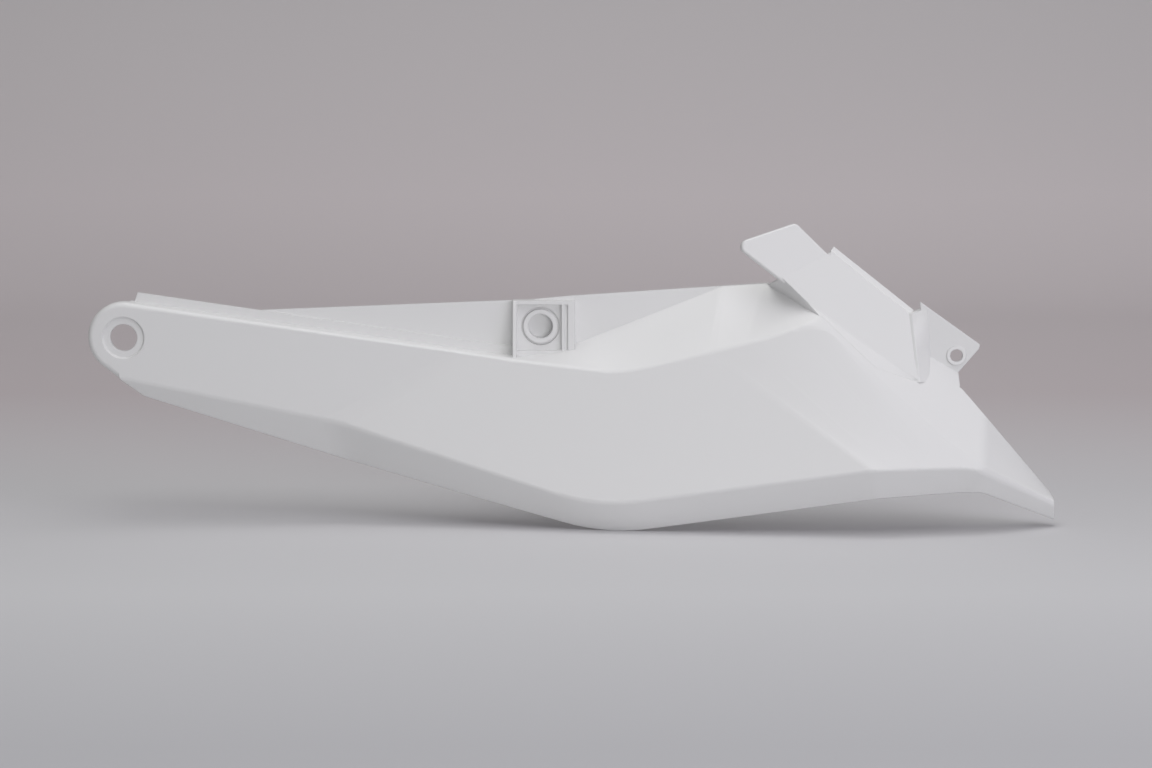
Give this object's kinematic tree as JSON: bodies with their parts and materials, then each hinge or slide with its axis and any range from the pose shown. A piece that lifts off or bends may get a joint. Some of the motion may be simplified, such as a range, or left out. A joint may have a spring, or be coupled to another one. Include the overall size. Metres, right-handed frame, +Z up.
{
  "type": "side number plate",
  "caption": "Right-hand side number plate of an off-road motorcycle: a moulded white panel with a round bolt end, a locating peg and a front bracket.",
  "frame": {"origin": "on the axis of the rear bolt hole, on the face of the recess where the bolt's head seats", "axes": "+X forward along the bike, +Y inward from the outer face to the bike, +Z up, as the panel hangs on the bike"},
  "size_m": [0.5856, 0.0768, 0.1835],
  "materials": {
    "panel": "satin white injection-moulded polypropylene"
  },
  "bodies": {
    "root": {"side_panel": "panel"}
  },
  "joints": []
}
